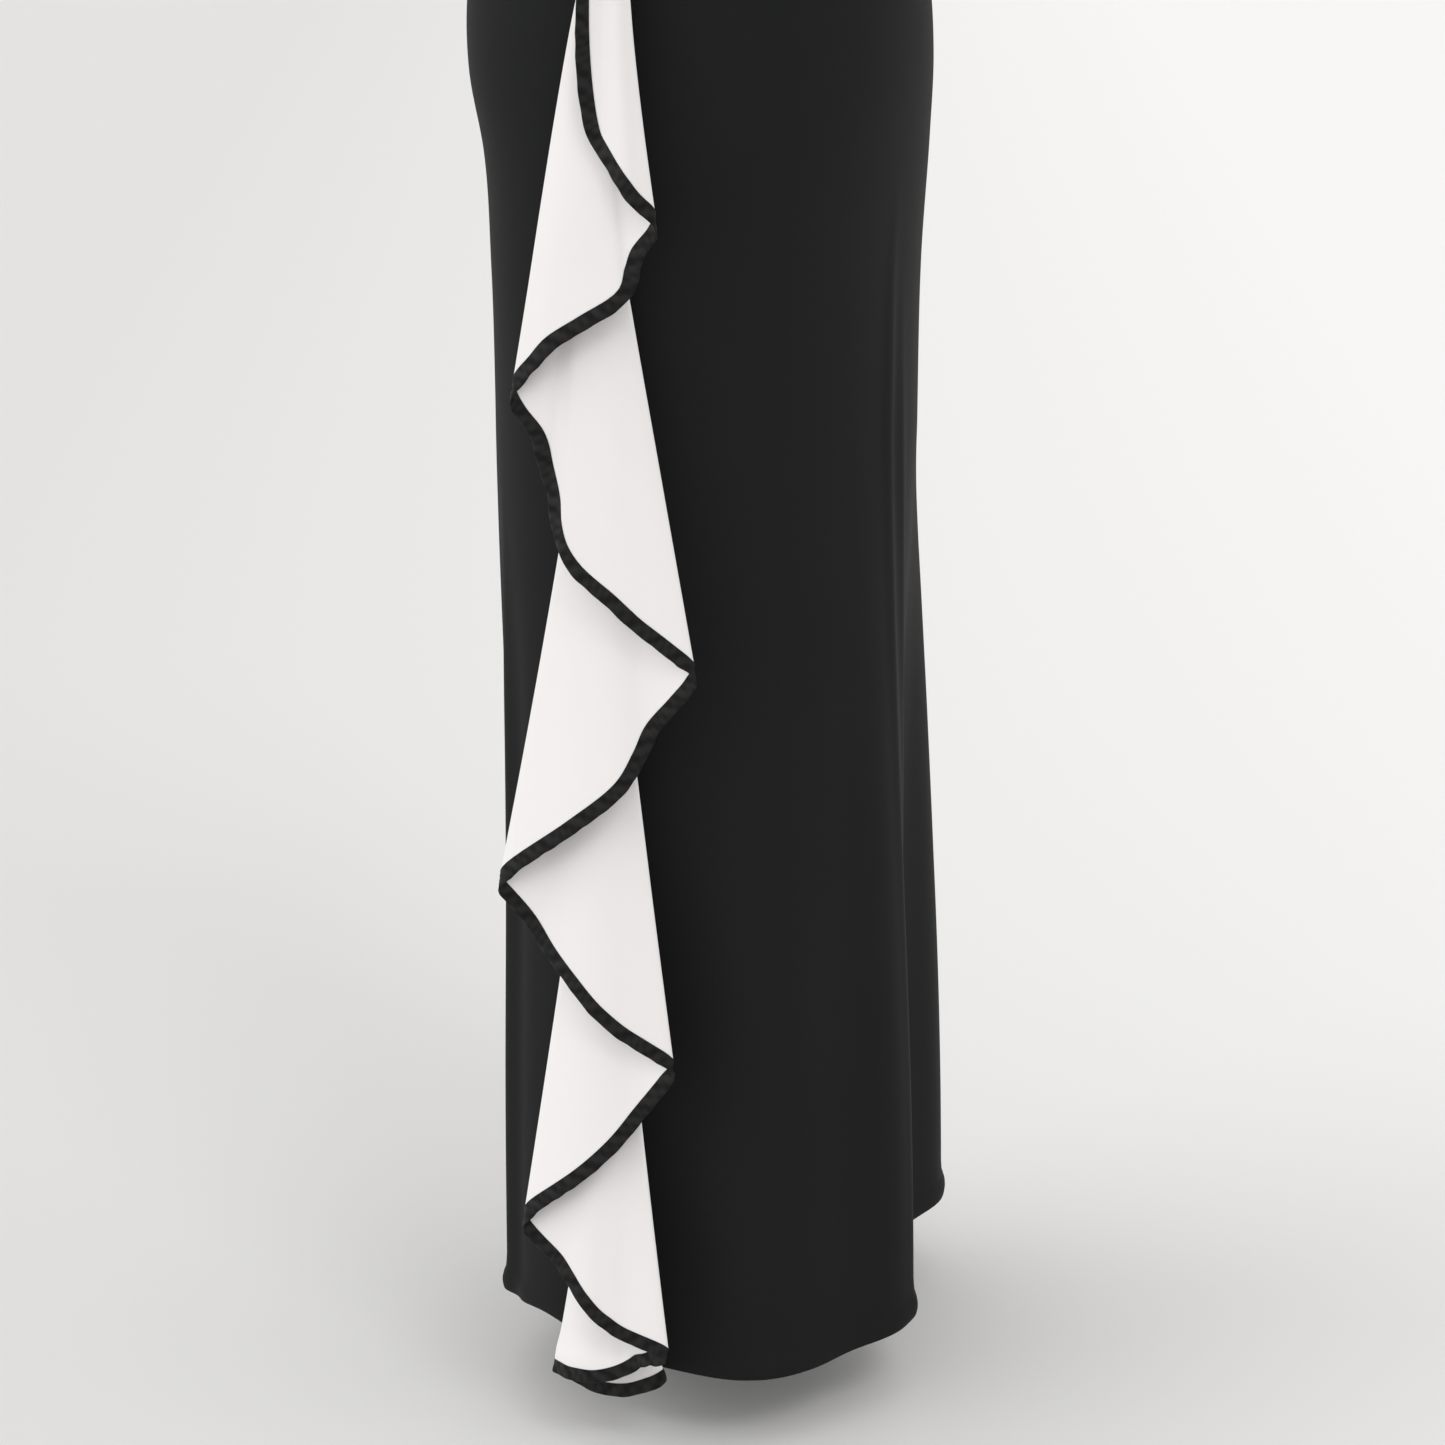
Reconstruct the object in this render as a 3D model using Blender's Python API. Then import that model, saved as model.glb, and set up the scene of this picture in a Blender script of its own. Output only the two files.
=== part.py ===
"""A one-shoulder maxi dress with a bound cascade ruffle down its right side seam.

The dress is shown as it hangs when it is worn. It is cut from four pieces: a front and a
back that run from the shoulder to the hem, a wide white ruffle strip that is sewn into the
right side seam below the bust, and a black binding along the free edge of that strip.

Metres, +Z up. The front faces -Y and the wearer's right side is at -X. The origin is under
the middle of the shoulder strap, where the wearer's left shoulder carries the dress. In
the tables, heights are measured up from the hem, and angles are measured round the body
from the centre front towards the wearer's right, so that 90 degrees is the right side seam.
"""

import math
from functools import lru_cache

import bmesh
import bpy
import numpy as np

LENGTH = 1.460
UNDERARM = 1.250
STRAP_MIDDLE = 0.098
STRAP_WIDTH = 0.056
SHOULDER_SLOPE = 0.34
CHEST_FLATNESS = 0.85
ARMHOLE_CURVE = 2

CLOTH = 0.0013
TURNING = 0.0009
HEM_TURNING = 0.015
SEAM_GAP = 0.0003
RUFFLE_CLOTH = 0.0011
RUFFLE_SET_OUT = 0.0008
RUFFLE_SPREAD = 0.124
BINDING_CLOTH = 0.0016
BINDING_WIDTH = 0.0095
BINDING_GAP = 0.0004

# Each row is one section of the body of the dress: its height, half its breadth from side
# seam to side seam, its depth to the front and to the back, and how square its corners
# are, where 2 is an ellipse.
SECTIONS = [
    # height, half_breadth, front_depth, back_depth, squareness
    (0.000, 0.176, 0.135, 0.124, 2.0),
    (0.150, 0.174, 0.134, 0.125, 2.0),
    (0.300, 0.172, 0.134, 0.125, 2.0),
    (0.450, 0.171, 0.136, 0.128, 2.0),
    (0.600, 0.173, 0.138, 0.133, 2.0),
    (0.720, 0.177, 0.139, 0.133, 2.05),
    (0.800, 0.180, 0.143, 0.136, 2.1),
    (0.850, 0.180, 0.145, 0.147, 2.1),
    (0.900, 0.177, 0.142, 0.148, 2.1),
    (0.960, 0.166, 0.132, 0.136, 2.1),
    (1.020, 0.146, 0.116, 0.117, 2.1),
    (1.065, 0.133, 0.106, 0.103, 2.15),
    (1.110, 0.134, 0.107, 0.101, 2.2),
    (1.160, 0.141, 0.112, 0.105, 2.25),
    (1.210, 0.149, 0.115, 0.110, 2.3),
    (1.250, 0.152, 0.114, 0.112, 2.3),
]

# Each row is one fold or swing of the skirt: the angle that it runs down, how wide it
# spreads to each side of that, the height where it starts, and how far it stands out from
# the section at the hem. A negative reach is a hollow.
FOLDS = [
    # name, angle, spread, start, reach
    ("right thigh swing", 54, 13, 0.62, 0.034),
    ("right front swing", 18, 14, 0.62, 0.038),
    ("front hollow", -30, 11, 0.60, -0.020),
    ("left thigh swing", -60, 13, 0.72, 0.052),
    ("left side", -92, 12, 0.50, 0.012),
    ("left back swing", -128, 14, 0.60, 0.024),
    ("back hollow", 178, 16, 0.55, -0.012),
    ("right back swing", 138, 12, 0.55, 0.006),
]
FOLD_GROWTH = 1.3

# Each row is a soft fullness of the cut: its angle and height, how far it spreads round
# the body in degrees and up it in metres, and how far it stands out.
FULLNESS = [
    # name, angle, spread, height, rise, reach
    ("right cup", 36, 17, 1.200, 0.050, 0.015),
    ("left cup", -36, 17, 1.200, 0.050, 0.015),
]

HEM_DIP = 0.012
HEM_DIP_ANGLE = 48
HEM_DIP_SPREAD = 34
HEM_DIP_FADES = 0.30
HEM_KICK = 0.0030
HEM_KICK_HEIGHT = 0.014
HEM_KICK_CURL = 1.5
HIPS = 0.85
HIP_FROM = 0.76
WAIST_TO = 1.14

# Each row is one fold of the ruffle, from the top down: the height where its line leaves
# the side seam, how far that line falls to the free edge, how far to the back of the
# seam, or to its front where negative, the fold's tip then hangs, and how late the edge
# sweeps over to that tip from the one before, where 1 is evenly.
RUFFLE_FOLDS = [
    # name, attach, fall, side, sweep
    ("start", 1.165, 0.195, -0.040, 1.0),
    ("first, back", 1.120, 0.227, -0.004, 1.5),
    ("second, front", 1.078, 0.286, -0.053, 1.8),
    ("third, back", 1.000, 0.318, 0.038, 1.4),
    ("fourth, front", 0.856, 0.346, -0.076, 2.2),
    ("fifth, back", 0.727, 0.379, 0.051, 1.7),
    ("sixth, front", 0.585, 0.347, -0.063, 1.5),
    ("seventh, back", 0.490, 0.374, 0.038, 1.4),
    ("eighth, front", 0.400, 0.364, -0.058, 1.6),
    ("ninth, back", 0.200, 0.360, 0.056, 1.5),
    ("tenth, front", 0.085, 0.360, -0.110, 1.5),
    ("end", 0.000, 0.360, -0.060, 1.0),
]
RUFFLE_SOFTENING = 0.014
SOFTENING_PLACES = 31
FOLD_ROUNDNESS = 0.16
FOLD_OPENING = 0.0024
RUFFLE_BELOW_HEM = 0.006
RUFFLE_CORNER = 0.012

PANEL_COLUMNS = 26
LEG_ROWS = 8
HIP_ROWS = 14
CHEST_ROWS = 4
CHEST_PLACES = 61
YOKE_ROWS = 8
SHEET_COLUMNS = 5
AFTER_FOLD = (0.002, 0.004, 0.006, 0.0085, 0.012, 0.016, 0.022)
BEFORE_FOLD = (0.010, 0.004, 0.0005)
SHEET_ROWS = 7
CORNER_START = 12
CORNER_STEPS = 7
WALK_STEPS = 3
SHARP_EDGE = 50
EPSILON = 1e-4


def numbers(table):
    """The table's rows without their names."""
    return np.array([[v for v in row if not isinstance(v, str)] for row in table])


def smooth_table(rows, height):
    """Each value of the rows at a height, on smooth curves from one row to the next."""
    at, values = rows[:, 0], rows[:, 1:]
    height = min(max(height, at[0]), at[-1])
    i = min(int(np.searchsorted(at, height, side="right")) - 1, len(at) - 2)
    slopes = np.gradient(values, at, axis=0)
    span = at[i + 1] - at[i]
    t = (height - at[i]) / span
    start = (1 + 2 * t) * (1 - t) ** 2 * values[i] + t * (1 - t) ** 2 * span * slopes[i]
    end = t * t * (3 - 2 * t) * values[i + 1] + t * t * (t - 1) * span * slopes[i + 1]
    return start + end


SECTION_ROWS = numbers(SECTIONS)
RUFFLE_ROWS = numbers(RUFFLE_FOLDS)[::-1]


def turned(degrees):
    """An angle brought between -180 and 180 degrees."""
    return (degrees + 180) % 360 - 180


def bell(distance, spread):
    """A soft rise, 1 in its middle and fading to 0 within about two spreads."""
    return math.exp(-0.5 * (distance / spread) ** 2)


def radius(angle, height):
    """How far the cloth stands from the body's axis, at an angle and a height."""
    breadth, front, back, square = smooth_table(SECTION_ROWS, height)
    side, ahead = math.sin(math.radians(angle)), math.cos(math.radians(angle))
    depth = front if ahead > 0 else back
    r = (abs(side / breadth) ** square + abs(ahead / depth) ** square) ** (-1 / square)
    for _, at, spread, start, reach in FOLDS:
        grown = math.sin(math.pi / 2 * max(0.0, (start - height) / start))
        r += reach * grown**FOLD_GROWTH * bell(turned(angle - at), spread)
    for _, at, spread, level, rise, reach in FULLNESS:
        r += reach * bell(turned(angle - at), spread) * bell(height - level, rise)
    return r


def skirt_point(angle, height):
    """A point of the dress below the underarm, in the dress's own frame."""
    level = max(height, 0.0)
    fade = max(0.0, 1 - level / HEM_DIP_FADES) ** 2
    dip = HEM_DIP * fade * bell(turned(angle - HEM_DIP_ANGLE), HEM_DIP_SPREAD)
    kick = HEM_KICK * max(0.0, 1 - level / HEM_KICK_HEIGHT) ** HEM_KICK_CURL
    r = radius(angle, level) + kick
    turn = math.radians(angle)
    across, ahead = math.sin(turn), math.cos(turn)
    return np.array([-r * across - STRAP_MIDDLE, -r * ahead, height - dip - LENGTH])


def chest_line(facing):
    """The underarm level seen from above: places across it, and how far ahead each is."""
    middle = 0 if facing > 0 else 180
    turns = middle + facing * np.linspace(90, -90, CHEST_PLACES)
    points = np.array([skirt_point(turn, UNDERARM) for turn in turns])
    return points[:, 0] + STRAP_MIDDLE, points[:, 1]


CHEST = {facing: chest_line(facing) for facing in (1, -1)}


def yoke_point(share, lift, facing):
    """A point above the underarm.

    The share runs from the neckline's edge to the armhole's, the lift is an angle from
    the underarm to the shoulder seam, and facing is 1 on the front and -1 on the back.
    """
    rise = math.sin(lift)
    breadth = SECTION_ROWS[-1][1]
    inner = STRAP_MIDDLE - STRAP_WIDTH / 2
    outer = STRAP_MIDDLE + STRAP_WIDTH / 2
    neck = -breadth + (inner + breadth) * rise
    arm = outer + (breadth - outer) * (1 - rise) ** ARMHOLE_CURVE
    x = neck + share * (arm - neck)
    y = np.interp(x, *CHEST[facing]) * math.cos(lift) ** CHEST_FLATNESS
    ridge = LENGTH + CLOTH - SHOULDER_SLOPE * (x - STRAP_MIDDLE) - UNDERARM
    return np.array([x - STRAP_MIDDLE, y, UNDERARM + ridge * rise - LENGTH])


def panel_point(across, up, facing):
    """A point of the front or back: across from -90 to 90 degrees, and up from 0 to 2.

    Up is 0 at the hem, 1 at the underarm and 2 at the shoulder seam.
    """
    angle = (0 if facing > 0 else 180) - across
    if up <= 1:
        return skirt_point(angle, up * UNDERARM)
    x, _, _ = skirt_point(angle, UNDERARM)
    breadth = SECTION_ROWS[-1][1]
    share = (x + STRAP_MIDDLE + breadth) / (2 * breadth)
    return yoke_point(share, (up - 1) * math.pi / 2, facing)


def unit(vector):
    return vector / np.linalg.norm(vector)


def slopes(surface, a, b):
    """How a surface's point moves with each of its two measures."""
    along = surface(a + EPSILON, b) - surface(a - EPSILON, b)
    across = surface(a, b + EPSILON) - surface(a, b - EPSILON)
    return along / (2 * EPSILON), across / (2 * EPSILON)


def panel_rows():
    """The panel's rows as places up it, close together at the hem, the hips and the waist."""
    hem = np.array([0, 0.4, 1, 1.1]) * HEM_TURNING
    skirt = np.linspace(3 * HEM_TURNING, HIP_FROM, LEG_ROWS)
    hips = np.linspace(HIP_FROM, WAIST_TO, HIP_ROWS)[1:]
    chest = np.linspace(WAIST_TO, UNDERARM, CHEST_ROWS)[1:]
    yoke = np.linspace(1, 2, YOKE_ROWS + 1)[1:]
    return np.concatenate([np.concatenate([hem, skirt, hips, chest]) / UNDERARM, yoke])


def wall(name, outer, inner, cloth):
    """A closed cloth wall between two grids of points, with the grids' edges joined."""
    mesh = bmesh.new()
    rows, columns = outer.shape[:2]
    out, back = [[[mesh.verts.new(p) for p in row] for row in grid] for grid in (outer, inner)]
    for i in range(rows - 1):
        for j in range(columns - 1):
            for grid, order in ((out, 1), (back, -1)):
                a, b, c, d = grid[i][j], grid[i][j + 1], grid[i + 1][j + 1], grid[i + 1][j]
                mesh.faces.new((a, b, c)[::order])
                mesh.faces.new((a, c, d)[::order])
    rim = [(0, j) for j in range(columns)] + [(i, columns - 1) for i in range(1, rows)]
    rim += [(rows - 1, j) for j in range(columns - 2, -1, -1)]
    rim += [(i, 0) for i in range(rows - 2, -1, -1)]
    for (i, j), (k, m) in zip(rim, rim[1:]):
        mesh.faces.new((out[k][m], out[i][j], back[i][j]))
        mesh.faces.new((out[k][m], back[i][j], back[k][m]))
    data = bpy.data.meshes.new(name)
    mesh.to_mesh(data)
    mesh.free()
    data.materials.append(cloth)
    data.shade_smooth()
    data.set_sharp_from_angle(angle=math.radians(SHARP_EDGE))
    piece = bpy.data.objects.new(name, data)
    bpy.context.scene.collection.objects.link(piece)


def finish(name, colour, roughness):
    """A plain finish in a colour of the dress."""
    made = bpy.data.materials.new(name)
    made.use_nodes = True
    shader = made.node_tree.nodes["Principled BSDF"]
    shader.inputs["Base Color"].default_value = (*colour, 1)
    shader.inputs["Roughness"].default_value = roughness
    shader.inputs["Metallic"].default_value = 0
    return made


def panel(name, facing, cloth):
    """The front or the back, from its hem to its half of the strap."""
    def surface(across, up):
        return panel_point(across, up, facing)

    side_gap = math.degrees(SEAM_GAP / 2 / SECTION_ROWS[:, 1].min())
    edges = np.linspace(-90 + side_gap, 90 - side_gap, PANEL_COLUMNS + 1)
    outer, inner = [], []
    for up in panel_rows():
        turned_up = up * UNDERARM < HEM_TURNING + EPSILON
        thick = CLOTH + (TURNING if turned_up else 0)
        points = np.array([surface(across, up) for across in edges])
        if up == 2:
            points[:, 1] -= facing * SEAM_GAP / 2
        level = min(up, 2 - 2 * EPSILON)
        normals = [unit(np.cross(*slopes(surface, across, level))) for across in edges]
        outer.append(points)
        inner.append(points - np.array(normals) * thick)
    wall(name, np.array(outer), np.array(inner), cloth)


def ruffle_fold(attach):
    """How far a line of the ruffle falls, and how far its end hangs back and stands out."""
    rows = RUFFLE_ROWS
    i = min(max(int(np.searchsorted(rows[:, 0], attach)), 1), len(rows) - 1)
    below, above = rows[i - 1], rows[i]
    share = min(max((above[0] - attach) / (above[0] - below[0]), 0.0), 1.0)
    fall = above[1] + (below[1] - above[1]) * share
    side = above[2] + (below[2] - above[2]) * share ** below[3]
    step = RUFFLE_SPREAD * (above[0] - below[0])
    lift = (FOLD_ROUNDNESS * step + FOLD_OPENING) * math.sin(2 * math.pi * share)
    return np.array([fall, side, -lift])


@lru_cache(maxsize=None)
def ruffle_line(attach):
    """The same as ruffle_fold, with the tips of the folds rounded."""
    places = np.linspace(-1, 1, SOFTENING_PLACES)
    lines = [ruffle_fold(attach + RUFFLE_SOFTENING * place) for place in places]
    return np.average(lines, axis=0, weights=1 + np.cos(math.pi * places))


SEAM_HEIGHTS = panel_rows()[panel_rows() <= 1] * UNDERARM
SEAM_LINE = [-STRAP_MIDDLE - skirt_point(90, height)[0] for height in SEAM_HEIGHTS]


def seam_out(height):
    """How far the side seam is from the body's axis."""
    return np.interp(height, SEAM_HEIGHTS, SEAM_LINE)


def ruffle_point(attach, drop):
    """The middle of the ruffle's cloth, where a line from the seam has come down by drop.

    A line that leaves the seam above the hips hangs straight across the hollow of the
    waist to the hips, and then follows them.
    """
    fall, side, lift = ruffle_line(attach)
    height = attach - drop
    out = seam_out(height)
    if attach > HIPS < height:
        share = drop / (attach - HIPS)
        out = max(out, seam_out(attach) + share * (seam_out(HIPS) - seam_out(attach)))
    out += SEAM_GAP + RUFFLE_SET_OUT + RUFFLE_SPREAD * drop + lift * drop / fall
    return np.array([-out - STRAP_MIDDLE, side * drop / fall, height - LENGTH])


def ruffle_edge():
    """The free edge from the top down: each line's height at the seam, and its drop."""
    rows = RUFFLE_ROWS[::-1]
    top = rows[0][0]
    edge = []
    for turn in np.linspace(CORNER_START, 90, CORNER_STEPS):
        down, grown = 1 - math.cos(math.radians(turn)), math.sin(math.radians(turn))
        attach = top - RUFFLE_CORNER * down
        edge.append((attach, ruffle_line(attach)[0] * grown))
    heights = [edge[-1][0], *rows[1:, 0]]
    for above, below in zip(heights, heights[1:]):
        turn = [above - step for step in AFTER_FOLD]
        sheet = np.linspace(turn[-1], below + BEFORE_FOLD[0], SHEET_COLUMNS + 1)[1:-1]
        arrival = [below + step for step in BEFORE_FOLD]
        for attach in [*turn, *sheet, *arrival]:
            fall = ruffle_line(attach)[0]
            limit = attach + RUFFLE_BELOW_HEM
            soft = RUFFLE_BELOW_HEM
            drop = -soft * math.log(math.exp(-fall / soft) + math.exp(-limit / soft))
            edge.append((attach, max(drop, RUFFLE_BELOW_HEM / 2)))
    return edge


def ruffle(name, cloth):
    """The white strip, from the seam to its free edge."""
    faces = ([], [])
    for attach, drop in ruffle_edge():
        sides = ([], [])
        for down in np.linspace(0, drop, SHEET_ROWS + 1):
            normal = unit(np.cross(*slopes(ruffle_point, attach, down)))
            point = ruffle_point(attach, down)
            sides[0].append(point + normal * RUFFLE_CLOTH / 2)
            sides[1].append(point - normal * RUFFLE_CLOTH / 2)
        faces[0].append(sides[0])
        faces[1].append(sides[1])
    wall(name, np.array(faces[0]), np.array(faces[1]), cloth)


def walk(attach, drop, heading, length):
    """The place on the ruffle's surface that lies a length ahead, in a few short steps."""
    for _ in range(WALK_STEPS):
        frame = np.stack(slopes(ruffle_point, attach, drop), axis=1)
        step = np.linalg.lstsq(frame, heading * length / WALK_STEPS, rcond=None)[0]
        attach, drop = attach + step[0], drop + step[1]
        heading = unit(frame @ step)
    return attach, drop, heading


def binding(name, cloth):
    """The black binding, end to end with the free edge and as wide all along it."""
    edge = ruffle_edge()
    top, first = edge[0]
    edge = [(top, drop) for drop in np.linspace(0, first, SHEET_ROWS + 1)[1:-1]] + edge
    places = np.array([ruffle_point(attach, drop) for attach, drop in edge])
    runs = np.gradient(places, axis=0)
    widths = np.diff(np.linspace(BINDING_GAP, BINDING_WIDTH, 3), prepend=0)
    faces = ([], [])
    for (attach, drop), run in zip(edge, runs):
        heading = unit(np.cross(run, np.cross(*slopes(ruffle_point, attach, drop))))
        sides = ([], [])
        for width in widths:
            attach, drop, heading = walk(attach, drop, heading, width)
            normal = unit(np.cross(*slopes(ruffle_point, attach, drop)))
            point = ruffle_point(attach, drop)
            sides[0].append(point + normal * BINDING_CLOTH / 2)
            sides[1].append(point - normal * BINDING_CLOTH / 2)
        faces[0].append(sides[0])
        faces[1].append(sides[1])
    wall(name, np.array(faces[0]), np.array(faces[1]), cloth)


def main():
    for thing in list(bpy.data.objects):
        bpy.data.objects.remove(thing, do_unlink=True)
    jersey = finish("black_jersey", (0.014, 0.015, 0.016), 0.62)
    crepe = finish("white_crepe", (0.86, 0.84, 0.84), 0.75)
    satin = finish("black_satin", (0.012, 0.013, 0.013), 0.45)
    panel("front", 1, jersey)
    panel("back", -1, jersey)
    ruffle("ruffle", crepe)
    binding("ruffle_binding", satin)


main()
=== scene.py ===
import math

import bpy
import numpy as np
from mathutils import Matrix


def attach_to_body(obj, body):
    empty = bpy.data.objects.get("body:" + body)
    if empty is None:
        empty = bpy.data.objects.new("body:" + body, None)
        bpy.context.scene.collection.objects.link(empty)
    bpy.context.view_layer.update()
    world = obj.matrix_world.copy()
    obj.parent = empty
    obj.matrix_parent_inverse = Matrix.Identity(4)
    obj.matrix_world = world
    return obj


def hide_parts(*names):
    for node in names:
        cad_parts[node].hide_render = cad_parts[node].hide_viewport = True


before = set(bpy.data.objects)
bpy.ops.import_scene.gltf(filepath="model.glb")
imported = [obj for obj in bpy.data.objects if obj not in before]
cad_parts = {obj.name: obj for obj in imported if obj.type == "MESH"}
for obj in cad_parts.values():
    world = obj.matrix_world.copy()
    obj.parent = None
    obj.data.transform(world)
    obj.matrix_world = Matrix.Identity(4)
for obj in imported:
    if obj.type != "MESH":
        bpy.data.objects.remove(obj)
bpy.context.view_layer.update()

# %% [markdown]
# # A one-shoulder dress with a bound ruffle
#
# This lesson dresses the plain solids of a long black dress: a front, a back, a wide white
# ruffle in the right side seam, and the black binding along the ruffle's edge. Each solid
# gives the size and the place. Each cell below makes a finer cloth on the same form.
#
# Everything is in metres with +Z up. The front faces -Y and the dress's own right is -X.
# The zero point is under the middle of the strap, so the hem lies a dress length below it.

# %% [markdown]
# ## The camera
#
# A long lens from about three metres sees the dress from its right side, a little from the
# front and a little from above. The lens and the place follow from where the waist, the
# hips and the hem stand in the picture. The picture is square and its top edge cuts the
# dress off above the waist.

# %% Camera
LENGTH = 1.460
STRAP_MIDDLE = 0.098
CAMERA_PLACE = (-2.875, -1.1345, -0.160)
CAMERA_TILT = 73.183
CAMERA_TURN = -68.0
CAMERA_REACH = 200
SENSOR = 36.0
LENS = 113.298

bpy.ops.object.camera_add(location=CAMERA_PLACE)
camera = bpy.context.object
camera.name = "camera"
camera.rotation_euler = (math.radians(CAMERA_TILT), 0, math.radians(CAMERA_TURN))
camera.data.sensor_width = SENSOR
camera.data.lens = LENS
camera.data.clip_end = CAMERA_REACH
bpy.context.scene.camera = camera
bpy.context.scene.view_settings.view_transform = "Standard"
print("camera at", CAMERA_PLACE, "with a lens of", LENS, "mm")

# %% [markdown]
# ## Helpers for cloth
#
# Cloth is a sheet, so every piece starts as a flat grid, the way cloth starts flat on the
# table. The grid's points are then carried to their places on the form, and its UV map
# keeps how far apart the points are along the cloth, so that a weave keeps its size.
# A function for the form is chosen over sculpting, because it can be run again.

# %% Values between the rows of a table
def numbers(table):
    """The table's rows without their names."""
    return np.array([[v for v in row if not isinstance(v, str)] for row in table])


def smooth_table(rows, height):
    """Each value of the rows at the heights, on smooth curves between the rows."""
    at, values = rows[:, 0], rows[:, 1:]
    height = np.clip(height, at[0], at[-1])
    i = np.clip(np.searchsorted(at, height, side="right") - 1, 0, len(at) - 2)
    slope = np.gradient(values, at, axis=0)
    span = (at[i + 1] - at[i])[..., None]
    t = (height - at[i])[..., None] / span
    start = (1 + 2 * t) * (1 - t) ** 2 * values[i] + t * (1 - t) ** 2 * span * slope[i]
    end = t * t * (3 - 2 * t) * values[i + 1] + t * t * (t - 1) * span * slope[i + 1]
    return np.moveaxis(start + end, -1, 0)


def turned(degrees):
    """Angles brought between -180 and 180 degrees."""
    return (degrees + 180) % 360 - 180


def bell(distance, spread):
    """A soft rise, 1 in its middle and fading to 0 within about two spreads."""
    return np.exp(-0.5 * (distance / spread) ** 2)


def unit(vectors):
    """The vectors brought to length 1."""
    return vectors / np.linalg.norm(vectors, axis=-1, keepdims=True)


# %% A flat grid that is carried to its place
def select_only(piece):
    """Selects one piece, since an operator acts on all that is selected."""
    bpy.ops.object.select_all(action="DESELECT")
    piece.select_set(True)
    bpy.context.view_layer.objects.active = piece


def cloth_grid(name, places):
    """A sheet with one point for each place, and a UV map in metres along the cloth."""
    rows, columns = places.shape[:2]
    bpy.ops.object.select_all(action="DESELECT")
    bpy.ops.mesh.primitive_grid_add(
        x_subdivisions=columns - 1, y_subdivisions=rows - 1, size=1, calc_uvs=True)
    piece = bpy.context.object
    piece.name = piece.data.name = name
    mesh = piece.data
    flat = np.empty(len(mesh.vertices) * 3)
    mesh.vertices.foreach_get("co", flat)
    flat = flat.reshape(-1, 3)
    column = np.rint((flat[:, 0] + 0.5) * (columns - 1)).astype(int)
    row = np.rint((flat[:, 1] + 0.5) * (rows - 1)).astype(int)
    mesh.vertices.foreach_set("co", places[row, column].ravel())
    steps = np.linalg.norm(np.diff(places, axis=1), axis=2)
    across = np.concatenate([np.zeros((rows, 1)), np.cumsum(steps, axis=1)], axis=1)
    across -= across[:, columns // 2][:, None]
    middle = places[:, columns // 2]
    up = np.concatenate([[0], np.cumsum(np.linalg.norm(np.diff(middle, axis=0), axis=1))])
    corner = np.empty(len(mesh.loops), dtype=np.int32)
    mesh.loops.foreach_get("vertex_index", corner)
    uv = np.stack([across[row, column], up[row]], axis=1)[corner]
    mesh.uv_layers.active.data.foreach_set("uv", uv.ravel())
    mesh.update()
    return piece, row, column


def apply(piece, kind, **settings):
    """Adds a modifier, sets it and applies it."""
    select_only(piece)
    modifier = piece.modifiers.new(kind.lower(), kind)
    for key, value in settings.items():
        setattr(modifier, key, value)
    bpy.ops.object.modifier_apply(modifier=modifier.name)


def smooth(piece, degrees=45):
    """Shades a piece smooth except at edges sharper than the angle."""
    select_only(piece)
    bpy.ops.object.shade_smooth_by_angle(angle=math.radians(degrees))


def measured(piece):
    """Prints a piece's size and how many triangles it has."""
    corners = np.array([v.co for v in piece.data.vertices])
    size = (corners.max(axis=0) - corners.min(axis=0)) * 1000
    piece.data.calc_loop_triangles()
    count = len(piece.data.loop_triangles)
    print(f"{piece.name}: {size.round(0).tolist()} mm, {count} triangles")


# %% [markdown]
# ## The form of the dress
#
# The body of the dress is a stack of soft ovals. A table gives each oval's breadth and
# depth, from the hem up to the underarm. A second table gives the swings of the skirt,
# which start below the hips and grow towards the hem. A third gives the thin creases that
# hang between them, where the cloth has only started to fold, and a fourth the two cups.
# The last table lowers and raises the hem, which never hangs quite level, and the turned
# hem kicks out a little because it is stiffer than the single cloth. Each seam sinks in a
# shallow groove. All of this is one function of the angle and the height, because then
# the front and the back meet exactly at the seams.

# %% Sections, swings and creases
CLOTH = 0.0013
TURNING = 0.0009
HEM_TURNING = 0.015
SEAM_GAP = 0.00001
SEAM_SINK = 0.0006
SEAM_SPREAD = 0.9
SEAM_ANGLE = 90
UNDERARM = 1.250
STRAP_WIDTH = 0.056
SHOULDER_SLOPE = 0.34
CHEST_FLATNESS = 0.85
ARMHOLE_CURVE = 2
CHEST_PLACES = 721

SECTIONS = [
    # height, half_breadth, front_depth, back_depth, squareness
    (0.000, 0.176, 0.135, 0.124, 2.0),
    (0.150, 0.174, 0.134, 0.125, 2.0),
    (0.300, 0.172, 0.134, 0.125, 2.0),
    (0.450, 0.171, 0.136, 0.128, 2.0),
    (0.600, 0.173, 0.138, 0.133, 2.0),
    (0.720, 0.177, 0.139, 0.133, 2.05),
    (0.800, 0.180, 0.143, 0.136, 2.1),
    (0.850, 0.180, 0.145, 0.147, 2.1),
    (0.900, 0.177, 0.142, 0.148, 2.1),
    (0.960, 0.166, 0.132, 0.136, 2.1),
    (1.020, 0.146, 0.116, 0.117, 2.1),
    (1.065, 0.133, 0.106, 0.103, 2.15),
    (1.110, 0.134, 0.107, 0.101, 2.2),
    (1.160, 0.141, 0.112, 0.105, 2.25),
    (1.210, 0.149, 0.115, 0.110, 2.3),
    (1.250, 0.152, 0.114, 0.112, 2.3),
]
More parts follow.
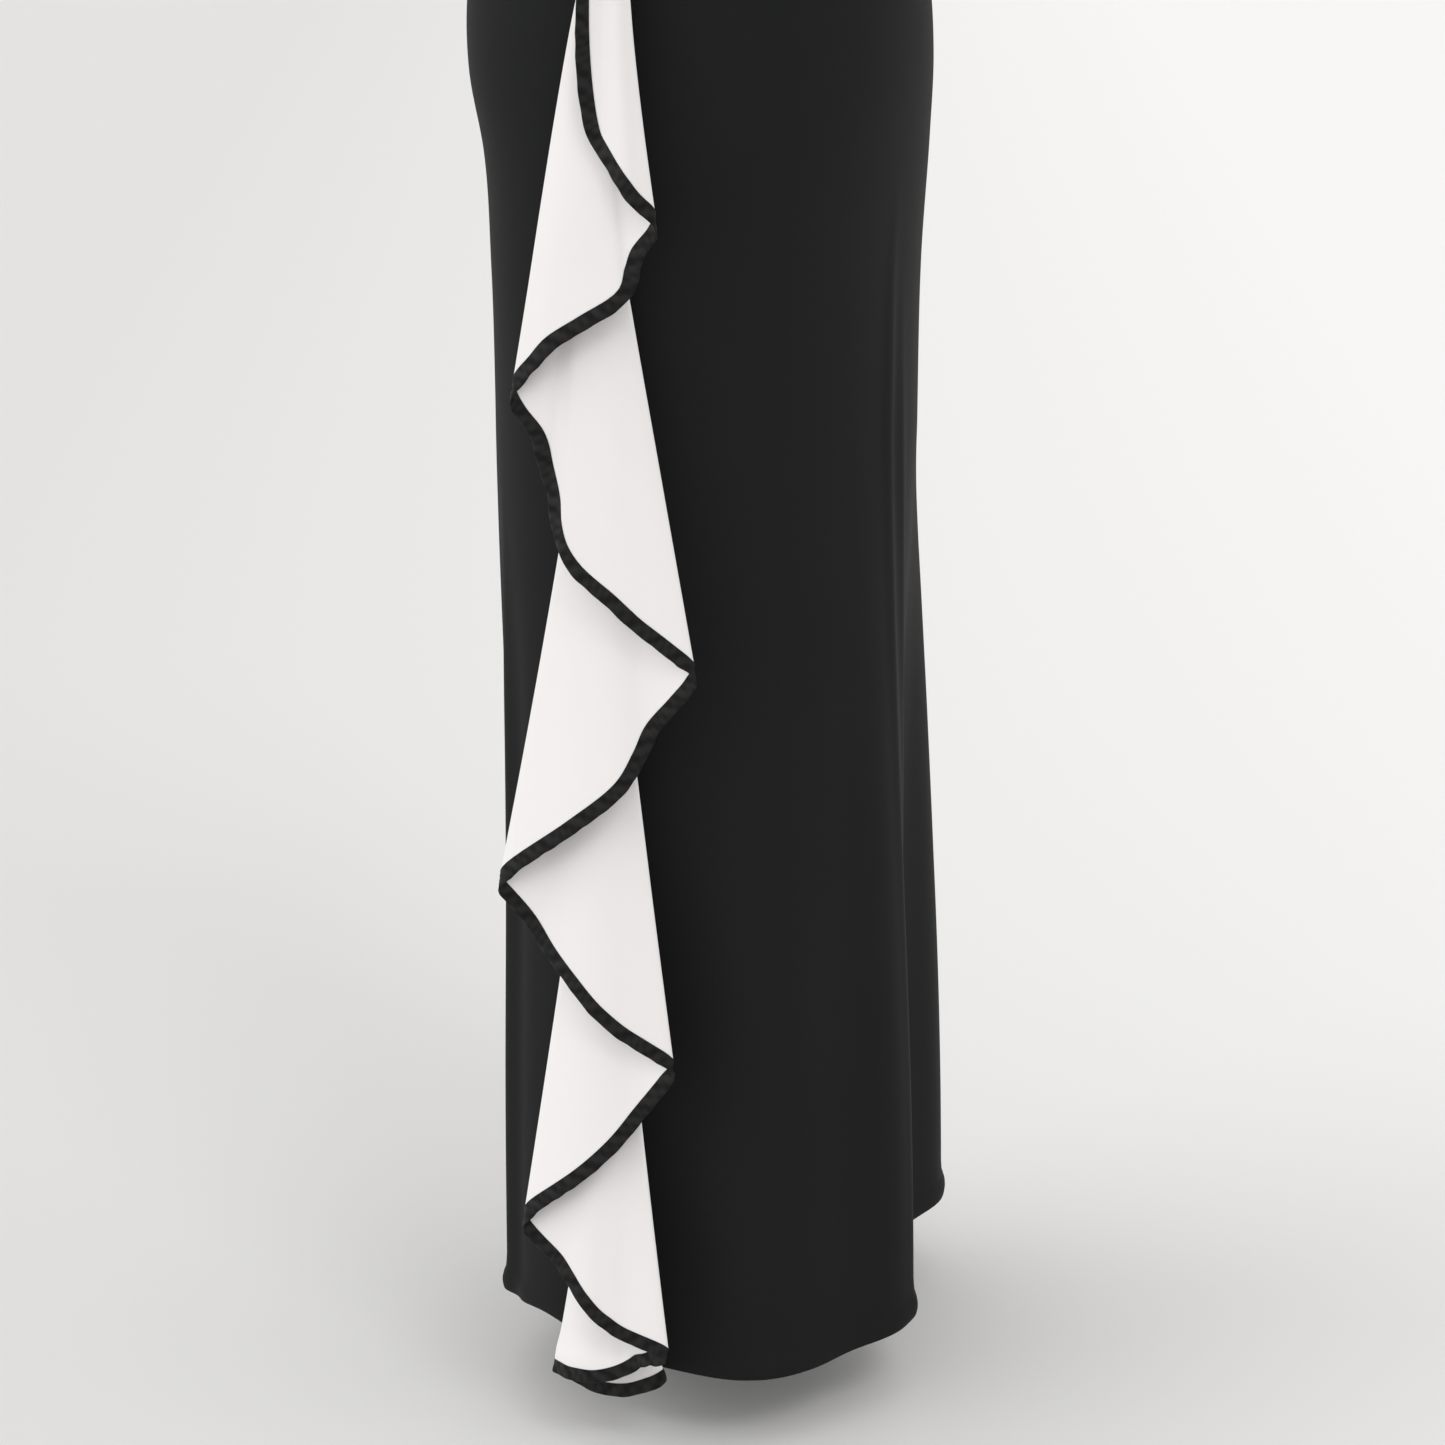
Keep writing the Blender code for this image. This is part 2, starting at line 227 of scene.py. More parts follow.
SWINGS = [
    # name, angle, spread, start, reach
    ("right side-front swing", 54, 13, 0.62, 0.034),
    ("right front swing", 18, 14, 0.62, 0.038),
    ("front hollow", -30, 11, 0.60, -0.020),
    ("left side-front swing", -60, 13, 0.72, 0.052),
    ("left side", -92, 12, 0.50, 0.012),
    ("left back swing", -128, 14, 0.60, 0.024),
    ("back hollow", 178, 16, 0.55, -0.012),
    ("right back swing", 138, 12, 0.55, 0.006),
]
SWING_GROWTH = 1.3
CREASES = [
    # name, angle, lean, spread, top, fade, reach
    ("front edge, first", 6.0, 5.0, 2.2, 0.80, 0.16, 0.0022),
    ("front edge, second", -2.0, -5.0, 2.4, 0.74, 0.18, 0.0020),
    ("right front, faint", 36.0, 4.0, 4.5, 0.66, 0.30, 0.0014),
    ("right front, lower", 47.0, -3.0, 4.0, 0.48, 0.24, 0.0012),
    ("right side front, faint", 62.0, 3.0, 5.0, 0.60, 0.30, 0.0010),
    ("right back, first", 121.0, 4.0, 3.0, 0.56, 0.20, -0.0024),
    ("right back, second", 130.0, 3.0, 2.8, 0.62, 0.20, 0.0030),
    ("right back, third", 139.0, 4.0, 2.8, 0.58, 0.20, -0.0030),
    ("right back, fourth", 148.0, 5.0, 3.0, 0.70, 0.24, 0.0028),
    ("back, fifth", 160.0, 3.0, 3.6, 0.52, 0.22, -0.0022),
    ("back, sixth", -170.0, -4.0, 4.0, 0.60, 0.26, 0.0024),
    ("back, seventh", -148.0, -5.0, 3.4, 0.50, 0.22, -0.0022),
    ("left back, eighth", -134.0, 4.0, 3.4, 0.64, 0.26, 0.0026),
    ("left back, ninth", -116.0, 3.0, 3.0, 0.46, 0.20, -0.0018),
    ("left side, tenth", -84.0, -3.0, 3.2, 0.56, 0.22, 0.0018),
    ("left front, eleventh", -52.0, 3.0, 3.2, 0.62, 0.24, 0.0020),
    ("left front, twelfth", -40.0, -4.0, 2.8, 0.50, 0.20, -0.0020),
    ("front, thirteenth", -20.0, 3.0, 3.0, 0.56, 0.22, 0.0016),
]
FULLNESS = [
    # name, angle, spread, height, rise, reach
    ("right cup", 36, 17, 1.200, 0.050, 0.015),
    ("left cup", -36, 17, 1.200, 0.050, 0.015),
]
HEM_DIPS = [
    # name, angle, spread, dip
    ("right front, lower", 48, 34, 0.012),
    ("right back, higher", 106, 11, -0.013),
]
HEM_DIP_FADES = 0.30
HEM_KICK = 0.0036
HEM_KICK_HEIGHT = 0.0055
HEM_KICK_SPREAD = 0.0065
HEM_EDGE = 0.0004
HEM_EDGE_SPREAD = 0.0012
SECTION_ROWS = numbers(SECTIONS)


def creased(angle, height):
    """How far the thin creases move the cloth in or out."""
    moved = 0
    for _, at, lean, spread, top, fade, reach in CREASES:
        below = np.clip((top - height) / fade, 0, 1)
        grown = below * below * (3 - 2 * below)
        middle = at + lean * (top - height) / top
        moved = moved + reach * grown * bell(turned(angle - middle), spread)
    return moved


def radius(angle, height):
    """How far the cloth stands from the body's axis."""
    breadth, front, back, square = smooth_table(SECTION_ROWS, height)
    side, ahead = np.sin(np.radians(angle)), np.cos(np.radians(angle))
    depth = np.where(ahead > 0, front, back)
    r = (np.abs(side / breadth) ** square + np.abs(ahead / depth) ** square) ** (-1 / square)
    for _, at, spread, start, reach in SWINGS:
        grown = np.sin(math.pi / 2 * np.maximum(0.0, (start - height) / start))
        r = r + reach * grown**SWING_GROWTH * bell(turned(angle - at), spread)
    for _, at, spread, level, rise, reach in FULLNESS:
        r = r + reach * bell(turned(angle - at), spread) * bell(height - level, rise)
    return r


def skirt_point(angle, height, folds=creased):
    """A point of the dress below the underarm."""
    level = np.maximum(height, 0.0)
    fade = np.maximum(0.0, 1 - level / HEM_DIP_FADES) ** 2
    dip = fade * sum(low * bell(turned(angle - at), spread) for _, at, spread, low in HEM_DIPS)
    kick = HEM_KICK * bell(level - HEM_KICK_HEIGHT, HEM_KICK_SPREAD)
    edge = HEM_EDGE * bell(level - HEM_TURNING, HEM_EDGE_SPREAD)
    seam = SEAM_SINK * bell(np.abs(turned(angle)) - SEAM_ANGLE, SEAM_SPREAD)
    r = radius(angle, level) + kick - edge - seam + folds(angle, level)
    turn = np.radians(angle)
    x = -r * np.sin(turn) - STRAP_MIDDLE
    return np.stack([x, -r * np.cos(turn), height - dip - LENGTH], axis=-1)


def still(angle, height):
    """Cloth that has no creases."""
    return np.zeros(np.broadcast(angle, height).shape)


print("the dress is", LENGTH, "m long, with", len(SWINGS), "swings and", len(CREASES), "creases")

# %% [markdown]
# ## The yoke
#
# Above the underarm the front and the back lean towards each other and meet on the
# shoulder in one strap. The neckline runs straight up to it from the bare side, and the
# armhole curves up on the other. A cosine turns the cloth over the shoulder smoothly.

# %% Yoke
def chest_line(facing):
    """The underarm level seen from above: places across it, and how far ahead each is."""
    middle = 0 if facing > 0 else 180
    turns = middle + facing * np.linspace(SEAM_ANGLE, -SEAM_ANGLE, CHEST_PLACES)
    points = skirt_point(turns, np.full(CHEST_PLACES, UNDERARM), still)
    return points[:, 0] + STRAP_MIDDLE, points[:, 1]


CHEST = {facing: chest_line(facing) for facing in (1, -1)}


def yoke_point(share, lift, facing):
    """A point above the underarm, a share of the way from the neckline to the armhole."""
    rise = np.sin(lift)
    breadth = SECTION_ROWS[-1][1]
    inner = STRAP_MIDDLE - STRAP_WIDTH / 2
    outer = STRAP_MIDDLE + STRAP_WIDTH / 2
    neck = -breadth + (inner + breadth) * rise
    arm = outer + (breadth - outer) * (1 - rise) ** ARMHOLE_CURVE
    x = neck + share * (arm - neck)
    y = np.interp(x, *CHEST[facing]) * np.cos(lift) ** CHEST_FLATNESS
    ridge = LENGTH + CLOTH - SHOULDER_SLOPE * (x - STRAP_MIDDLE) - UNDERARM
    return np.stack([x - STRAP_MIDDLE, y, UNDERARM + ridge * rise - LENGTH], axis=-1)


# %% [markdown]
# ## The front and the back
#
# Each is one panel from the hem to its half of the strap. The grid is finest where the
# cloth turns most: at the hem, at the seams and along the creases. Solidify gives the wall
# its thickness towards the inside, and a little more where the hem is turned up. A small
# bevel rounds the folded edges, as a pressed edge is round. A vertex group tells Solidify
# which rows are the turned hem, which is simpler than a second layer of cloth.

# %% Panels
PANEL_COLUMNS = 164
SKIRT_ROWS = 205
YOKE_ROWS = 60
YOKE_ROW_GROWTH = 1.5
COLUMN_PLACES = 3601
HEM_ROWS = (
    0, 0.0012, 0.0025, 0.004, 0.006, 0.008, 0.010, 0.012, 0.0135, 0.015, 0.0165, 0.019)
EDGE_ROUND = 0.0004
FOLDED_EDGE = 60
DENSER = [
    # angle, spread, extra
    (6, 16, 1.2),
    (138, 20, 0.9),
    (90, 2, 2.5),
    (-90, 2, 2.5),
]


def panel_columns(middle):
    """Places from side seam to side seam, closer together at the creases that show."""
    fine = np.linspace(-SEAM_ANGLE, SEAM_ANGLE, COLUMN_PLACES)
    density = 1 + sum(
        extra * bell(turned(middle - fine - at), spread) for at, spread, extra in DENSER)
    run = np.concatenate([[0], np.cumsum((density[1:] + density[:-1]) / 2)])
    return np.interp(np.linspace(0, run[-1], PANEL_COLUMNS + 1), run, fine)


def make_panel(name, node, facing):
    """A panel of the dress with its turned hem."""
    middle = 0 if facing > 0 else 180
    seam = math.degrees(SEAM_GAP / 2 / SECTION_ROWS[:, 1].min())
    across = np.clip(panel_columns(middle), -SEAM_ANGLE + seam, SEAM_ANGLE - seam)
    above_hem = np.linspace(HEM_ROWS[-1], UNDERARM, SKIRT_ROWS + 1)[1:]
    heights = np.concatenate([HEM_ROWS, above_hem])
    angle, height = np.meshgrid(middle - across, heights)
    skirt = skirt_point(angle, height)
    breadth = SECTION_ROWS[-1][1]
    share = (skirt_point(middle - across, np.full(len(across), UNDERARM), still)[:, 0]
             + STRAP_MIDDLE + breadth) / (2 * breadth)
    lift = math.pi / 2 * np.linspace(0, 1, YOKE_ROWS + 1)[1:] ** YOKE_ROW_GROWTH
    shares, lifts = np.meshgrid(share, lift)
    yoke = yoke_point(shares, lifts, facing)
    yoke[-1, :, 1] -= facing * SEAM_GAP / 2
    piece, row, _ = cloth_grid(name, np.concatenate([skirt, yoke]))
    group = piece.vertex_groups.new(name="turned")
    hem_rows = int(np.sum(heights < HEM_TURNING + EDGE_ROUND))
    group.add([int(i) for i in np.nonzero(row < hem_rows)[0]], 1.0, "REPLACE")
    apply(piece, "SOLIDIFY", thickness=CLOTH + TURNING, offset=-1, vertex_group="turned",
          thickness_vertex_group=CLOTH / (CLOTH + TURNING), use_even_offset=False)
    piece.vertex_groups.clear()
    apply(piece, "BEVEL", width=EDGE_ROUND, segments=2, limit_method="ANGLE",
          angle_limit=math.radians(FOLDED_EDGE))
    smooth(piece)
    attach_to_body(piece, "root")
    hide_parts(node)
    measured(piece)
    return piece


front = make_panel("front_cloth", "front", 1)
back = make_panel("back_cloth", "back", -1)

# %% [markdown]
# ## The form of the ruffle
#
# A cascade ruffle is a ring of cloth cut open and sewn along its short inner edge. Hung
# from a side seam, its long free edge swings to the front and to the back by turns. Each
# row of the first table is one fold line: where it leaves the seam, how far it falls, and
# where its tip hangs. The sheet between two lines is ruled from one to the next, so the
# cloth lies over itself as it does on the dress.
#
# Between the tips a real edge is never a straight sweep. The second table lets the edge
# sway to the back and the front there, and the sheet follows it less and less towards the
# seam. The third lifts the edge at the low end, where the cloth hangs in a shallow bowl.

# %% Fold lines
RUFFLE_CLOTH = 0.0011
RUFFLE_SET_OUT = 0.0008
RUFFLE_SPREAD = 0.124
RUFFLE_FOLDS = [
    # name, attach, fall, side, sweep
    ("top end, back", 1.165, 0.306, 0.001, 1.0),
    ("second, front", 1.078, 0.286, -0.053, 1.0),
    ("third, back", 1.000, 0.318, 0.038, 1.4),
    ("fourth, front", 0.856, 0.346, -0.076, 2.2),
    ("fifth, back", 0.727, 0.379, 0.051, 1.7),
    ("sixth, front", 0.585, 0.347, -0.063, 1.5),
    ("seventh, back", 0.490, 0.374, 0.038, 1.4),
    ("eighth, front", 0.400, 0.364, -0.058, 1.6),
    ("ninth, back", 0.200, 0.360, 0.050, 1.5),
    ("tenth, front", 0.120, 0.360, -0.150, 1.5),
    ("end", 0.000, 0.360, -0.060, 1.0),
]
EDGE_SWAYS = [
    # attach, side
    (0.000, 0.000), (0.300, 0.000), (0.340, 0.000), (0.378, -0.002), (0.393, -0.003),
    (0.403, 0.019), (0.411, 0.019), (0.426, 0.011), (0.441, 0.003), (0.452, 0.000), (0.464, 0.003),
    (0.474, 0.005), (0.486, 0.004), (0.500, 0.001), (0.516, -0.002), (0.531, -0.002),
    (0.552, 0.001), (0.570, -0.001), (0.580, -0.004), (0.589, 0.006), (0.598, 0.0095),
    (0.614, 0.009), (0.640, 0.004), (0.662, 0.002), (0.690, -0.001), (0.708, 0.002),
    (0.722, 0.006), (0.738, 0.0075), (0.760, 0.0035), (0.783, 0.000), (0.798, 0.006),
    (0.813, 0.011), (0.829, 0.005), (0.840, -0.001), (0.849, -0.004), (0.858, 0.004),
    (0.868, 0.007), (0.883, 0.007), (0.898, 0.012), (0.906, 0.011), (0.918, 0.005),
    (0.930, -0.003), (0.948, -0.008), (0.968, -0.008), (0.980, 0.001), (0.992, 0.006),
    (1.006, 0.004), (1.017, 0.006), (1.027, -0.001), (1.039, -0.010), (1.050, -0.002),
    (1.058, 0.002), (1.070, -0.002), (1.078, -0.003), (1.086, 0.000), (1.100, 0.000),
    (1.165, 0.000),
]
SWAY_GROWTH = 2
EDGE_RAISES = [
    # attach, raise
    (0.000, 0.000), (0.080, 0.000), (0.105, 0.003), (0.120, 0.005), (0.135, -0.001),
    (0.150, -0.007), (0.165, -0.008), (0.185, 0.000), (0.200, 0.004), (0.220, 0.005),
    (0.240, 0.005), (0.260, 0.006), (0.280, 0.007), (0.300, 0.010), (0.310, 0.012),
    (0.320, 0.0145), (0.330, 0.0175), (0.340, 0.021), (0.350, 0.0215), (0.360, 0.020),
    (0.370, 0.0135), (0.380, 0.007), (0.390, 0.001), (0.396, 0.000), (0.402, 0.000),
    (0.408, 0.000), (1.165, 0.000),
]
RUFFLE_SOFTENING = 0.014
SOFTENING_PLACES = 31
SEAM_PLACES = 2501
FOLD_ROUNDNESS = 0.16
FOLD_OPENING = 0.0024
RUFFLE_BELOW_HEM = 0.006
RUFFLE_CORNER = 0.034
HIPS = 0.85
NEAR = 1e-4
RUFFLE_ROWS = numbers(RUFFLE_FOLDS)[::-1]
SWAY_ROWS = numbers(EDGE_SWAYS)
RAISE_ROWS = numbers(EDGE_RAISES)
SEAM_HEIGHTS = np.linspace(0, UNDERARM, SEAM_PLACES)
SEAM_LINE = -STRAP_MIDDLE - skirt_point(
    np.full(SEAM_PLACES, float(SEAM_ANGLE)), SEAM_HEIGHTS, still)[:, 0]


def ruffle_fold(attach):
    """How far a line of the ruffle falls, and how far its end hangs back and stands out."""
    rows = RUFFLE_ROWS
    i = np.clip(np.searchsorted(rows[:, 0], attach), 1, len(rows) - 1)
    below, above = np.moveaxis(rows[i - 1], -1, 0), np.moveaxis(rows[i], -1, 0)
    share = np.clip((above[0] - attach) / (above[0] - below[0]), 0, 1)
    fall = above[1] + (below[1] - above[1]) * share
    side = above[2] + (below[2] - above[2]) * share ** below[3]
    step = RUFFLE_SPREAD * (above[0] - below[0])
    lift = (FOLD_ROUNDNESS * step + FOLD_OPENING) * np.sin(2 * math.pi * share)
    return np.stack([fall, side, -lift], axis=-1)


def ruffle_line(attach):
    """The same with the tips of the folds rounded."""
    places = np.linspace(-1, 1, SOFTENING_PLACES)
    lines = ruffle_fold(np.asarray(attach)[..., None] + RUFFLE_SOFTENING * places)
    return np.average(lines, axis=-2, weights=1 + np.cos(math.pi * places))


def seam_out(height):
    """How far the side seam stands out from the dress's middle."""
    return np.interp(height, SEAM_HEIGHTS, SEAM_LINE)


def ruffle_point(attach, drop):
    """The middle of the ruffle's cloth, where a line from the seam has come down by drop."""
    fall, side, lift = np.moveaxis(ruffle_line(attach), -1, 0)
    height = attach - drop
    share = drop / np.maximum(attach - HIPS, NEAR)
    bridge = seam_out(attach) + share * (seam_out(HIPS) - seam_out(attach))
    hangs = (attach > HIPS) & (height > HIPS)
    out = np.where(hangs, np.maximum(seam_out(height), bridge), seam_out(height))
    out = out + SEAM_GAP + RUFFLE_SET_OUT + RUFFLE_SPREAD * drop + lift * drop / fall
    sway, = smooth_table(SWAY_ROWS, attach)
    aside = side * drop / fall + sway * (drop / fall) ** SWAY_GROWTH
    return np.stack([-out - STRAP_MIDDLE, aside, height - LENGTH], axis=-1)


print("the ruffle has", len(RUFFLE_FOLDS), "fold lines, and is sewn in over",
      RUFFLE_ROWS[-1, 0], "m")

# %% [markdown]
# ## The ruffle's cloth
#
# The free edge is a list of places on the ruled sheet, from a rounded corner at the top
# down to the hem. They are closest together at the tips of the folds. One flat grid
# runs from the seam to that edge and becomes a double-faced crepe of one thickness.

# %% Ruffle
RUFFLE_COLUMNS = 620
RUFFLE_ROWS_DOWN = 46
CORNER_START = 12
CORNER_COLUMNS = 24
EDGE_PLACES = 6001
TIP_EXTRA = 2.2
TIP_SPREAD = 0.012
RUFFLE_SHARP_EDGE = 60


def ruffle_edge(columns):
    """The free edge from the top down: each line's height at the seam, and its drop."""
    top = RUFFLE_ROWS[-1, 0]
    turn = np.radians(np.linspace(CORNER_START, 90, CORNER_COLUMNS))
    corner = top - RUFFLE_CORNER * (1 - np.cos(turn))
    corner_drop = ruffle_line(corner)[:, 0] * np.sin(turn)
    fine = np.linspace(corner[-1], 0, EDGE_PLACES)[1:]
    density = 1 + TIP_EXTRA * sum(bell(fine - at, TIP_SPREAD) for at in RUFFLE_ROWS[:, 0])
    run = np.cumsum(density)
    attach = np.interp(np.linspace(run[0], run[-1], columns), run, fine)
    soft = RUFFLE_BELOW_HEM
    fall = ruffle_line(attach)[:, 0]
    drop = -soft * np.log(np.exp(-fall / soft) + np.exp(-(attach + soft) / soft))
    raised, = smooth_table(RAISE_ROWS, attach)
    drop = np.maximum(drop - raised, soft / 2)
    return np.concatenate([corner, attach]), np.concatenate([corner_drop, drop])


def make_ruffle():
    """The ruffle's sheet from the seam to its free edge."""
    attach, drop = ruffle_edge(RUFFLE_COLUMNS)
    share = np.linspace(0, 1, RUFFLE_ROWS_DOWN + 1)[:, None]
    places = ruffle_point(np.broadcast_to(attach, (len(share), len(attach))), share * drop)
    piece, _, _ = cloth_grid("ruffle_cloth", places)
    apply(piece, "SOLIDIFY", thickness=RUFFLE_CLOTH, offset=0, use_even_offset=False)
    smooth(piece, RUFFLE_SHARP_EDGE)
    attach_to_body(piece, "root")
    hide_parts("ruffle")
    measured(piece)
    return piece


ruffle = make_ruffle()

# %% [markdown]
# ## The binding
#
# The edge is bound with a folded bias strip of black satin. It takes in the ruffle's raw
# edge, is about 9 mm wide on both sides, and puckers a little all along, because a strip
# sewn round a curve is never quite even. A tube that is nearly flat follows the edge. Its
# points walk along the surface, so the band bends with the cloth, and they are averaged
# along the run, so that it rolls round each tip without a crack. How high each pucker is
# goes into a point attribute. The satin reads it for its gloss, for a painted shade in each
# hollow and for a painted highlight on each top.

# %% Binding
BINDING_WIDTH = 0.0095
BINDING_STEP = 0.0013
BINDING_START = 0.002
SEAM_END_PLACES = 60
PATH_COLUMNS = 6000
WALK_STEPS = 4
TURN_SOFTNESS = 0.0030
# How sharply the painted shade in the band's hollows turns to the painted highlight on its tops.
PUCKER_SHADE_CONTRAST = 1.6
PUCKER = 0.00050
SCALLOP = 0.00070
SCALLOP_PHASE = 0.7
FACE_PHASES = (0.0, 2.4)
BAND_EDGES = (0.04, 0.96)
SAME_PLACE = 1e-6
BAND_SHARP_EDGE = 70
BAND = [
    # share of the width, half thickness
    (-0.12, 0.00086),
    (-0.02, 0.00092),
    (0.18, 0.00088),
    (0.40, 0.00080),
    (0.62, 0.00080),
    (0.84, 0.00078),
    (0.95, 0.00052),
    (1.00, 0.00000),
]
RIPPLES = [
    # length, slant, wander, wander_length, height
    (0.0098, 0.75, 1.9, 0.083, 0.50),
    (0.0064, -0.55, 2.5, 0.047, 0.32),
    (0.0171, 0.40, 1.4, 0.131, 0.40),
]


def slopes(attach, drop):
    """How the ruffle's point moves with each of its two measures."""
    along = ruffle_point(attach + NEAR, drop) - ruffle_point(attach - NEAR, drop)
    down = ruffle_point(attach, drop + NEAR) - ruffle_point(attach, drop - NEAR)
    return along / (2 * NEAR), down / (2 * NEAR)


def walk(attach, drop, heading, length):
    """The places on the ruffle's surface that lie a length ahead."""
    for _ in range(WALK_STEPS):
        along, down = slopes(attach, drop)
        step = heading * length / WALK_STEPS
        pairs = (along, along), (along, down), (down, down), (step, along), (step, down)
        aa, ad, dd, sa, sd = [np.sum(p * q, axis=-1) for p, q in pairs]
        spread = aa * dd - ad * ad
        da, db = (dd * sa - ad * sd) / spread, (aa * sd - ad * sa) / spread
        attach, drop = attach + da, drop + db
        heading = unit(da[:, None] * along + db[:, None] * down)
    return attach, drop


def ripple(run, share, phase):
    """The puckers of the band, between about -1 and 1."""
    total = 0
    for length, slant, wander, wander_length, height in RIPPLES:
        drift = wander * np.sin(2 * math.pi * run / wander_length + phase)
        wave = 2 * math.pi * (run / length + slant * share)
        total = total + height * np.sin(wave + drift + phase)
    return total


def softened(vectors):
    """The vectors averaged along the band, so that it rolls round each tip."""
    reach = int(3 * TURN_SOFTNESS / BINDING_STEP)
    weights = bell(np.arange(-reach, reach + 1) * BINDING_STEP, TURN_SOFTNESS)
    padded = np.pad(vectors, ((reach, reach), (0, 0)), mode="edge")
    parts = [np.convolve(padded[:, k], weights / weights.sum(), mode="valid") for k in range(3)]
    return np.stack(parts, axis=-1)


def band_path():
    """Places along the seam end, the corner and the free edge, evenly spaced."""
    attach, drop = ruffle_edge(PATH_COLUMNS)
    start = np.linspace(BINDING_START, drop[0], SEAM_END_PLACES)[:-1]
    attach = np.concatenate([np.full(len(start), attach[0]), attach])
    drop = np.concatenate([start, drop])
    steps = np.linalg.norm(np.diff(ruffle_point(attach, drop), axis=0), axis=1)
    run = np.concatenate([[0], np.cumsum(steps)])
    even = np.linspace(0, run[-1], int(run[-1] / BINDING_STEP))
    return even, np.interp(even, run, attach), np.interp(even, run, drop)


def make_binding():
    """The band: one closed loop of places round it, carried along the ruffle's edge."""
    run, attach, drop = band_path()
    path = ruffle_point(attach, drop)
    along, down = slopes(attach, drop)
    heading = unit(np.cross(np.gradient(path, axis=0), np.cross(along, down)))
    width = BINDING_WIDTH + SCALLOP * ripple(run, 0, SCALLOP_PHASE)[:, None]
    sides, heights = ([], []), ([], [])
    for share, half in BAND:
        a, d = walk(attach, drop, heading, share * width)
        middle = path + softened(ruffle_point(a, d) - path)
        normal = unit(softened(unit(np.cross(*slopes(a, d)))))
        for face, (side, phase) in enumerate(zip((1, -1), FACE_PHASES)):
            fade = np.sin(math.pi * np.clip(share, *BAND_EDGES))
            rise = ripple(run, share, phase)
            puckers = PUCKER * fade * rise * (half > 0)
            sides[face].append(middle + normal * side * (half + puckers)[:, None])
            # The pucker's height from 0 to 1: a mask for the satin's gloss and for its painted
            # shade and highlight.
            heights[face].append(0.5 + 0.5 * np.tanh(PUCKER_SHADE_CONTRAST * rise))
    loop = sides[0] + sides[1][-2::-1]
    shades = heights[0] + heights[1][-2::-1]
    loop.append(loop[0])
    shades.append(shades[0])
    piece, row, column = cloth_grid("binding", np.array(loop))
    # This mask goes into a point attribute, which paints shade and highlight into the satin's
    # colour.
    marked = piece.data.attributes.new("pucker_shade", "FLOAT", "POINT")
    marked.data.foreach_set("value", np.array(shades)[row, column].astype(np.float32))
    bpy.ops.object.mode_set(mode="EDIT")
    bpy.ops.mesh.select_all(action="SELECT")
    bpy.ops.mesh.remove_doubles(threshold=SAME_PLACE)
    bpy.ops.mesh.fill_holes(sides=len(loop) + 2)
    bpy.ops.mesh.normals_make_consistent(inside=False)
    bpy.ops.object.mode_set(mode="OBJECT")
    smooth(piece, BAND_SHARP_EDGE)
    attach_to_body(piece, "root")
    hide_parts("ruffle_binding")
    measured(piece)
    print("the binding is", round(float(run[-1]), 3), "m long")
    return piece


binding = make_binding()

# %% [markdown]
# ## Finishes
#
# Each finish is made from nodes on the cloth's own UV map, which is in metres, so a rib
# of the knit keeps its size everywhere. Colour and roughness change a little from place
# to place. The bump is only for what is finer than the mesh. Values that are even all
# over the cloth are set on the shader itself, where every renderer reads them.

# %% Node helpers
NO_SHEEN = 0.0
SHEEN_SPREAD = 0.45
BAND_WAVER = 0.6
BAND_DETAIL = 1.0
COARSE_DETAIL = 3.0
FINE_DETAIL = 2.0


def new_finish(name, roughness, sheen, specular):
    """A material with a Principled shader whose even values are set on its own sockets."""
    made = bpy.data.materials.new(name)
    made.use_nodes = True
    shader = made.node_tree.nodes["Principled BSDF"]
    shader.inputs["Roughness"].default_value = roughness
    shader.inputs["Sheen Weight"].default_value = sheen
    shader.inputs["Sheen Roughness"].default_value = SHEEN_SPREAD
    shader.inputs["Specular IOR Level"].default_value = specular
    return made, made.node_tree, shader


def add(tree, kind, **values):
    """A node with its settings and input values."""
    node = tree.nodes.new(kind)
    for key, value in values.items():
        if hasattr(node, key) and key not in node.inputs:
            setattr(node, key, value)
        else:
            node.inputs[key].default_value = value
    return node


def noise(tree, place, scale, detail=COARSE_DETAIL):
    """An uneven pattern, between 0 and 1."""
    node = add(tree, "ShaderNodeTexNoise")
    node.inputs["Scale"].default_value = scale
    node.inputs["Detail"].default_value = detail
    tree.links.new(place, node.inputs["Vector"])
    return node.outputs["Fac"]


def bands(tree, place, scale, direction):
    """Fine soft bands, such as ribs or threads, that waver a little."""
    node = add(tree, "ShaderNodeTexWave")
    node.bands_direction = direction
    node.inputs["Scale"].default_value = scale
    node.inputs["Distortion"].default_value = BAND_WAVER
    node.inputs["Detail"].default_value = BAND_DETAIL
    tree.links.new(place, node.inputs["Vector"])
    return node.outputs["Fac"]


def blend(tree, amount, first, second):
    """A colour that goes from the first to the second."""
    node = add(tree, "ShaderNodeMix")
    node.data_type = "RGBA"
    node.inputs[6].default_value = (*first, 1)
    node.inputs[7].default_value = (*second, 1)
    tree.links.new(amount, node.inputs[0])
    return node.outputs[2]


def between(tree, amount, low, high):
    """A number that goes from low to high with the amount."""
    node = add(tree, "ShaderNodeMapRange")
    node.inputs["To Min"].default_value = low
    node.inputs["To Max"].default_value = high
    tree.links.new(amount, node.inputs["Value"])
    return node.outputs["Result"]


def bump(tree, shader, layers):
    """Raises the shader's surface by layers of height and depth in metres."""
    before = None
    for height, depth in layers:
        node = add(tree, "ShaderNodeBump")
        node.inputs["Strength"].default_value = 1.0
        node.inputs["Distance"].default_value = depth
        tree.links.new(height, node.inputs["Height"])
        if before:
            tree.links.new(before, node.inputs["Normal"])
        before = node.outputs["Normal"]
    tree.links.new(before, shader.inputs["Normal"])


def dress(piece, material):
    """Gives a piece its finish, all over."""
    piece.data.materials.clear()
    piece.data.materials.append(material)


